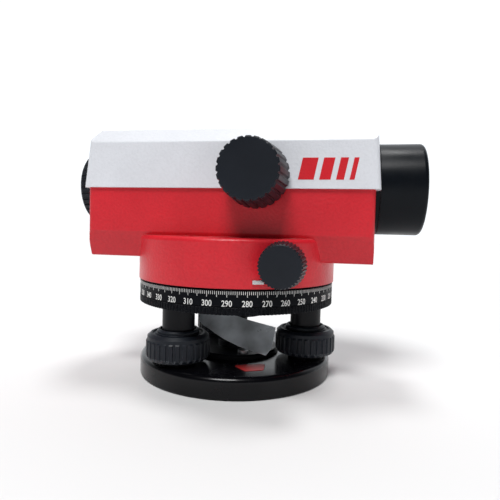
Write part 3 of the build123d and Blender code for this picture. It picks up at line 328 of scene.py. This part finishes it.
SATIN_BLACK = Finish("satin_black_paint", (0.005, 0.005, 0.007), 0.42, specular=0.18,
                     grain_height=0.02 * MM, wear_colour=(0.22, 0.22, 0.23), wear=0.35)
CIRCLE_BLACK = Finish("circle_black_anodised", (0.0035, 0.004, 0.006), 0.40, specular=0.06,
                      grain_scale=2600.0, grain_height=0.008 * MM, marks=Marks.RINGS_ABOUT_Z,
                      wear_colour=(0.25, 0.25, 0.26), wear=0.35, edge_radius=0.25 * MM)
# The band at 12.9–14.9 mm paints the edges at the rib bottoms lighter: a painted highlight for their glint.
KNOB_PLASTIC = Finish("moulded_black_plastic", (0.0105, 0.0130, 0.0185), 0.40, specular=0.2, drift=0.12,
                      grain_scale=1500.0, grain_height=0.03 * MM, grain_tone=0.03,
                      wear_colour=(0.16, 0.17, 0.19), wear=0.45, edge_radius=0.3 * MM,
                      rubbed_band=(12.9 * MM, 14.9 * MM))
BARREL_BLACK = Finish("barrel_black_anodised", (0.004, 0.0055, 0.008), 0.33, specular=0.12,
                      grain_scale=2400.0, grain_height=0.008 * MM, marks=Marks.RINGS_ABOUT_X,
                      wear_colour=(0.28, 0.28, 0.30), wear=0.35, edge_radius=0.35 * MM)
FLAT_BLACK = Finish("flat_black_anodised", (0.012, 0.012, 0.013), 0.62, grain_scale=1800.0,
                    marks=Marks.RINGS_ABOUT_X, grain_height=0.01 * MM, wear_colour=(0.2, 0.2, 0.2),
                    wear=0.2)
TURNED_STEEL = Finish("turned_steel", (0.56, 0.56, 0.57), 0.27, metallic=1.0, drift=0.06,
                      grain_scale=3200.0, grain_height=0.006 * MM, marks=Marks.RINGS_ABOUT_Z,
                      wear_colour=(0.8, 0.8, 0.8), wear=0.4, edge_radius=0.2 * MM)
LEAF_STEEL = Finish("rolled_spring_steel", (0.50, 0.53, 0.56), 0.36, metallic=0.35, drift=0.45,
                    drift_scale=70.0, polish_spread=0.10, grain_scale=900.0, grain_height=0.004 * MM,
                    marks=Marks.DRAWN_ALONG_X, grain_tone=0.0, wear_colour=(0.75, 0.78, 0.80), wear=0.5,
                    edge_radius=0.2 * MM, specular=0.5)
TURNED_BRASS = Finish("turned_brass", (0.62, 0.43, 0.17), 0.30, metallic=1.0, drift=0.08,
                      grain_scale=3000.0, grain_height=0.006 * MM, marks=Marks.RINGS_ABOUT_Z,
                      wear_colour=(0.8, 0.65, 0.35), wear=0.4, edge_radius=0.2 * MM)
CAST_ALLOY = Finish("cast_alloy", (0.48, 0.48, 0.50), 0.48, metallic=0.9, drift=0.10, grain_scale=700.0,
                    grain_height=0.03 * MM, wear_colour=(0.75, 0.75, 0.76), wear=0.4)
FRONT_MIRROR = Finish("front_surface_mirror", (0.90, 0.92, 0.93), 0.03, metallic=1.0, drift=0.02,
                      polish_spread=0.02, grain_height=0.0, grain_tone=0.0, wear=0.3, edge_radius=0.15 * MM)
RED_INDEX = Finish("red_index_enamel", (0.50, 0.020, 0.018), 0.38, drift=0.12, grain_scale=900.0,
                   grain_height=0.03 * MM, wear_colour=(0.15, 0.02, 0.02), wear=0.4)
FIGURE_WHITE = Finish("figure_filling_white", (0.80, 0.80, 0.78), 0.50, drift=0.08, grain_scale=2500.0,
                      grain_height=0.005 * MM, grain_tone=0.05, wear=0.0, edge_radius=0.05 * MM)
TRIM_RED = Finish("trim_red_foil", (0.68, 0.012, 0.022), 0.35, drift=0.06, grain_scale=1200.0,
                  grain_height=0.01 * MM, grain_tone=0.04, wear_colour=(0.8, 0.2, 0.2), wear=0.3,
                  edge_radius=0.1 * MM, coat=0.3)
LENS_GLASS = GlassFinish("coated_lens_glass", (0.93, 0.96, 0.98), film=480.0)
VIAL_GLASS = GlassFinish("vial_spirit", (0.82, 0.95, 0.45), refraction=1.40)
BUBBLE_AIR = GlassFinish("bubble_skin", (0.97, 0.99, 0.90), roughness=0.01, refraction=1.08)

SLOT_FINISHES: dict[str, Finish | GlassFinish] = {
    "base_gloss": BASE_ENAMEL,
    "inlay_red": RED_INDEX,
    "brass": TURNED_BRASS,
    "black_metal": SATIN_BLACK,
    "steel": TURNED_STEEL,
    "leaf_steel": LEAF_STEEL,
    "circle_black": CIRCLE_BLACK,
    "paint_red": RED_ENAMEL,
    "paint_white": WHITE_ENAMEL,
    "black_plastic": KNOB_PLASTIC,
    "barrel_black": BARREL_BLACK,
    "inner_black": FLAT_BLACK,
    "inner_alloy": CAST_ALLOY,
    "lens_glass": LENS_GLASS,
    "vial_glass": VIAL_GLASS,
    "mirror": FRONT_MIRROR,
}


def make_piece(name: str, shape: bmesh.types.BMesh, finish: Finish | GlassFinish, body: str,
               smooth: bool = False) -> bpy.types.Object:
    """Turns a shape into a piece that rides on a body.

    Args:
        name: Name of the piece.
        shape: Mesh in the row frame, freed here.
        finish: Finish that the piece wears.
        body: CAD body that carries it.
        smooth: Whether its faces are shaded smooth.

    Returns:
        The piece.
    """
    bmesh.ops.recalc_face_normals(shape, faces=shape.faces)
    mesh = bpy.data.meshes.new(name)
    shape.to_mesh(mesh)
    shape.free()
    for polygon in mesh.polygons:
        polygon.use_smooth = smooth
    piece = bpy.data.objects.new(name, mesh)
    bpy.context.scene.collection.objects.link(piece)
    mesh.materials.append(finish.material())
    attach(piece, body)
    LOG.info("piece %s on %s: %d faces", name, body, len(mesh.polygons))
    return piece


def prism(shape: bmesh.types.BMesh, near: list[Vector], far: list[Vector]) -> None:
    """Adds a closed prism between two outlines with the same number of corners.

    Args:
        shape: Mesh that takes it.
        near: Corners of one end.
        far: Corners of the other end, in the same order.
    """
    first = [shape.verts.new(corner) for corner in near]
    second = [shape.verts.new(corner) for corner in far]
    shape.faces.new(first)
    shape.faces.new(list(reversed(second)))
    for index, corner in enumerate(first):
        after = (index + 1) % len(first)
        shape.faces.new((corner, second[index], second[after], first[after]))


@dataclass
class Castings:
    """The CAD nodes themselves, dressed slot by slot."""

    frame: dict[str, Any]
    smooth_angle: float = 28.0

    def dress(self) -> None:
        """Gives every node the finish of its slot and smooth shading with sharp edges kept."""
        made = {name: finish.material() for name, finish in SLOT_FINISHES.items()}
        for part in self.frame["record"]["subparts"]:
            node = self.frame["nodes"][part["node"]]
            mesh = node.data
            mesh.materials.clear()
            mesh.materials.append(made[part["material_slot"]])
            mesh.shade_smooth()
            mesh.set_sharp_from_angle(angle=math.radians(self.smooth_angle))
            LOG.info("node %s wears %s", part["node"], made[part["material_slot"]].name)


@dataclass
class CircleScale:
    """White degree scale round the horizontal circle: a stroke each degree and a number each ten."""

    radius: float = 52.7 * MM
    first_number: int = 300
    first_angle: float = -92.8
    figure_height: float = 2.7 * MM
    figure_middle: float = 44.3 * MM
    figure_width: float = 0.84
    figure_weight: float = 0.07 * MM
    digit_share: float = 0.70
    curve_steps: int = 4
    stroke_top: float = 49.8 * MM
    stroke_short: float = 1.5 * MM
    stroke_long: float = 2.7 * MM
    stroke_width: float = 0.22 * MM
    depth: float = 0.06 * MM
    sink: float = 0.02 * MM
    body: str = "circle"

    def angle_of(self, number: float) -> float:
        """Angle about the vertical axis at which a degree of the scale lies, in radians."""
        return math.radians(self.first_angle + self.first_number - number)

    def wrap(self, along: float, up: float, out: float, angle: float) -> Vector:
        """Lays a flat point on the circle's wall.

        Args:
            along: Distance round the wall from the angle.
            up: Height above the base.
            out: Distance out of the wall.
            angle: Angle of the figure's middle, in radians.

        Returns:
            The point in the row frame.
        """
        turn = angle + along / self.radius
        reach = self.radius - self.sink + out
        return Vector((reach * math.cos(turn), reach * math.sin(turn), up))

    def figure_mesh(self, text: str) -> bpy.types.Mesh:
        """Flat raised figures at the origin.

        Args:
            text: Digits to draw.

        Returns:
            Their mesh, centred, with digits of the scale's height.
        """
        curve = bpy.data.curves.new("figure_" + text, "FONT")
        curve.body = text
        curve.align_x = "CENTER"
        curve.align_y = "CENTER"
        curve.size = self.figure_height / self.digit_share
        curve.offset = self.figure_weight / 2
        curve.extrude = self.depth / 2
        curve.resolution_u = self.curve_steps
        holder = bpy.data.objects.new("figure_" + text, curve)
        bpy.context.scene.collection.objects.link(holder)
        graph = bpy.context.evaluated_depsgraph_get()
        mesh = bpy.data.meshes.new_from_object(holder.evaluated_get(graph))
        bpy.data.objects.remove(holder)
        bpy.data.curves.remove(curve)
        return mesh

    def build_figures(self) -> bpy.types.Object:
        """Numbers every ten degrees.

        Returns:
            The piece that holds them all.
        """
        shape = bmesh.new()
        for number in range(0, 360, 10):
            mesh = self.figure_mesh(str(number))
            before = len(shape.verts)
            shape.from_mesh(mesh)
            bpy.data.meshes.remove(mesh)
            shape.verts.ensure_lookup_table()
            fresh = shape.verts[before:]
            middle = (max(v.co.y for v in fresh) + min(v.co.y for v in fresh)) / 2
            for vertex in fresh:
                flat = vertex.co.copy()
                vertex.co = self.wrap(flat.x * self.figure_width, self.figure_middle + flat.y - middle,
                                      flat.z + self.depth / 2, self.angle_of(number))
        bmesh.ops.remove_doubles(shape, verts=shape.verts, dist=1e-7)
        return make_piece("circle_figures", shape, FIGURE_WHITE, self.body)

    def build_strokes(self) -> bpy.types.Object:
        """A stroke each degree, longer every five.

        Returns:
            The piece that holds them all.
        """
        shape = bmesh.new()
        half = self.stroke_width / 2
        for degree in range(360):
            length = self.stroke_long if degree % 5 == 0 else self.stroke_short
            corners = ((-half, self.stroke_top - length), (half, self.stroke_top - length),
                       (half, self.stroke_top), (-half, self.stroke_top))
            angle = self.angle_of(degree)
            prism(shape, [self.wrap(x, z, 0.0, angle) for x, z in corners],
                  [self.wrap(x, z, self.depth, angle) for x, z in corners])
        return make_piece("circle_strokes", shape, FIGURE_WHITE, self.body)

    def build(self) -> None:
        """Makes the figures and strokes."""
        self.build_figures()
        self.build_strokes()


@dataclass
class CoverTrim:
    """Plain slanted bars of red foil on the side of the cover."""

    frame: dict[str, Any]
    left: float = 35.0 * MM
    bottom: float = 101.8 * MM
    height: float = 10.4 * MM
    slant: float = 0.20
    widths: tuple[float, ...] = (7.4 * MM, 5.2 * MM, 3.6 * MM, 2.2 * MM)
    gap: float = 2.6 * MM
    thickness: float = 0.14 * MM
    sink: float = 0.05 * MM
    steps: int = 4

    def on_side(self, across: float, up: float, out: float) -> Vector:
        """Point just off the cover's near side.

        Args:
            across: Place along the line of sight.
            up: Height above the base.
            out: Distance out of the side.

        Returns:
            The point in the row frame.
        """
        cover = self.frame["nodes"]["top_cover"]
        start = Vector((across, -1.0, up))
        found, spot, normal, _ = cover.ray_cast(start, Vector((0.0, 1.0, 0.0)))
        if not found:
            raise ValueError("the trim lies off the cover")
        return spot + normal * out

    def build(self) -> bpy.types.Object:
        """Makes the bars.

        Returns:
            The piece that holds them all.
        """
        shape = bmesh.new()
        left = self.left
        for width in self.widths:
            rows = []
            for step in range(self.steps + 1):
                rise = self.height * step / self.steps
                rows.append((left + self.slant * rise, left + width + self.slant * rise, self.bottom + rise))
            outline = [(row[0], row[2]) for row in rows] + [(row[1], row[2]) for row in reversed(rows)]
            prism(shape, [self.on_side(x, z, -self.sink) for x, z in outline],
                  [self.on_side(x, z, self.thickness) for x, z in outline])
            left += width + self.gap
        return make_piece("cover_trim", shape, TRIM_RED, "alidade")


@dataclass
class Bubble:
    """Air bubble under the top of the circular level, and the ring engraved over it."""

    bubble_radius: float = 2.3 * MM
    bubble_height: float = 1.1 * MM
    ring_radius: float = 3.1 * MM
    ring_width: float = 0.3 * MM
    ring_height: float = 0.08 * MM
    body: str = "alidade"

    def middle(self) -> Vector:
        """Point on the vial's axis at its top."""
        low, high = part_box("level_vial")
        return Vector(((low.x + high.x) / 2, (low.y + high.y) / 2, high.z))

    def turned(self, outline: list[tuple[float, float]], centre: Vector,
               steps: int = 48) -> bmesh.types.BMesh:
        """Turns a closed outline about the vial's axis.

        Args:
            outline: Points of (radius, height).
            centre: Point on the axis from which heights count.
            steps: Facets round the axis.

        Returns:
            The turned mesh.
        """
        shape = bmesh.new()
        rings = []
        for step in range(steps):
            turn = 2 * math.pi * step / steps
            rings.append([shape.verts.new(centre + Vector((r * math.cos(turn), r * math.sin(turn), z)))
                          for r, z in outline])
        for step in range(steps):
            ring, after = rings[step], rings[(step + 1) % steps]
            for index in range(len(outline)):
                follow = (index + 1) % len(outline)
                shape.faces.new((ring[index], ring[follow], after[follow], after[index]))
        bmesh.ops.remove_doubles(shape, verts=shape.verts, dist=1e-7)
        return shape

    def build(self) -> None:
        """Makes the bubble and the ring."""
        centre = self.middle()
        depth = [self.bubble_height * share for share in (0.15, 0.35, 0.70, 1.15)]
        air = [(0.0, -depth[0]), (self.bubble_radius * 0.85, -depth[0]), (self.bubble_radius, -depth[1]),
               (self.bubble_radius * 0.85, -depth[2]), (self.bubble_radius * 0.4, -depth[3] + depth[0]),
               (0.0, -depth[3])]
        make_piece("level_bubble", self.turned(air, centre), BUBBLE_AIR, self.body, smooth=True)
        inner = self.ring_radius - self.ring_width / 2
        outer = self.ring_radius + self.ring_width / 2
        outline = [(inner, -self.ring_height / 2), (outer, -self.ring_height / 2),
                   (outer, self.ring_height / 2), (inner, self.ring_height / 2)]
        make_piece("level_ring", self.turned(outline, centre), SATIN_BLACK, self.body)


@dataclass
class Studio:
    """Pale floor, soft lights and the camera."""

    lens: float = 31.70
    sensor: float = 36.0
    eye: tuple[float, float, float] = (50.98 * MM, -241.87 * MM, 77.33 * MM)
    yaw: float = 10.30
    pitch: float = -2.02
    roll: float = -1.40
    shift_down: float = -0.0093
    floor_half: float = 6.0
    floor_colour: Colour = (0.73, 0.73, 0.73)
    air_colour: Colour = (0.93, 0.965, 1.0)
    air_behind: float = 1.15
    air_ahead: tuple[float, float] = (0.50, 0.03)
    air_rise: tuple[float, float] = (0.0, 0.30)
    air_turn: tuple[float, float] = (0.05, 0.75)

    def build_camera(self) -> bpy.types.Object:
        """Places the camera.

        Returns:
            The camera object.
        """
        data = bpy.data.cameras.new("camera")
        data.lens = self.lens
        data.sensor_width = self.sensor
        data.shift_y = self.shift_down
        data.clip_start = 0.01
        data.clip_end = 50.0
        yaw, pitch, roll = (math.radians(angle) for angle in (self.yaw, self.pitch, self.roll))
        ahead = Vector((-math.sin(yaw) * math.cos(pitch), math.cos(yaw) * math.cos(pitch), math.sin(pitch)))
        side = Vector((math.cos(yaw), math.sin(yaw), 0.0))
        top = side.cross(ahead)
        side_rolled = math.cos(roll) * side - math.sin(roll) * top
        top_rolled = math.sin(roll) * side + math.cos(roll) * top
        turn = Matrix((side_rolled, top_rolled, -ahead)).transposed().to_4x4()
        camera = bpy.data.objects.new("camera", data)
        camera.matrix_world = Matrix.Translation(Vector(self.eye)) @ turn
        bpy.context.scene.collection.objects.link(camera)
        bpy.context.scene.camera = camera
        return camera

    def build_floor(self) -> None:
        """Lays the floor."""
        shape = bmesh.new()
        half = self.floor_half
        shape.faces.new([shape.verts.new((x, y, -0.05 * MM)) for x, y in
                         ((-half, -half), (half, -half), (half, half), (-half, half))])
        mesh = bpy.data.meshes.new("floor")
        shape.to_mesh(mesh)
        shape.free()
        floor = bpy.data.objects.new("floor", mesh)
        bpy.context.scene.collection.objects.link(floor)
        graph = Graph("pale_floor")
        shader = graph.node("BsdfPrincipled", {"Base Color": (*self.floor_colour, 1.0), "Roughness": 0.9,
                                               "Specular IOR Level": 0.1})
        mesh.materials.append(graph.close(shader))

    def build_light(self, name: str, bearing: float, height: float, spread: float, power: float) -> None:
        """Lights the room with one broad, far lamp.

        Args:
            name: Name of the light.
            bearing: Direction it shines from, in degrees about the vertical axis.
            height: Angle above the floor, in degrees.
            spread: Width of the lamp as seen from the floor, in degrees.
            power: Strength in watts per square metre.
        """
        data = bpy.data.lights.new(name, "SUN")
        data.angle = math.radians(spread)
        data.energy = power
        lamp = bpy.data.objects.new(name, data)
        turn, rise = math.radians(bearing), math.radians(height)
        source = Vector((math.cos(turn) * math.cos(rise), math.sin(turn) * math.cos(rise), math.sin(rise)))
        lamp.location = source
        lamp.rotation_mode = "QUATERNION"
        lamp.rotation_quaternion = (-source).to_track_quat("-Z", "Y")
        bpy.context.scene.collection.objects.link(lamp)

    def build(self) -> None:
        """Sets up camera, floor, sky and lights."""
        self.build_camera()
        self.build_floor()
        self.build_air()
        bpy.context.scene.view_settings.view_transform = "Standard"
        self.build_light("key", -97.0, 61.0, 24.0, 2.65)
        self.build_light("top", 80.0, 79.0, 14.0, 1.2)

    def build_air(self) -> None:
        """Lights the surroundings: bright behind the level, dimmer in front of it."""
        world = bpy.data.worlds.new("studio_air")
        world.use_nodes = True
        tree = world.node_tree
        spot = tree.nodes.new("ShaderNodeTexCoord")
        parts = tree.nodes.new("ShaderNodeSeparateXYZ")
        rise, fade = (tree.nodes.new("ShaderNodeMapRange") for _ in range(2))
        backing = tree.nodes["Background"]
        backing.inputs["Color"].default_value = (*self.air_colour, 1.0)
        tree.links.new(spot.outputs["Generated"], parts.inputs[0])
        for node, axis, reach in ((rise, "Z", self.air_rise), (fade, "Y", self.air_turn)):
            node.interpolation_type = "SMOOTHSTEP"
            tree.links.new(parts.outputs[axis], node.inputs["Value"])
            node.inputs["From Min"].default_value, node.inputs["From Max"].default_value = reach
        rise.inputs["To Min"].default_value, rise.inputs["To Max"].default_value = self.air_ahead
        tree.links.new(rise.outputs["Result"], fade.inputs["To Min"])
        fade.inputs["To Max"].default_value = self.air_behind
        tree.links.new(fade.outputs["Result"], backing.inputs["Strength"])
        bpy.context.scene.world = world


def main() -> None:
    """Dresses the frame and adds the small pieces."""
    logging.basicConfig(level=logging.INFO, format="%(name)s: %(message)s")
    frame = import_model()
    Studio().build()
    Castings(frame).dress()
    CircleScale().build()
    CoverTrim(frame).build()
    Bubble().build()


if __name__ == "__main__":
    main()
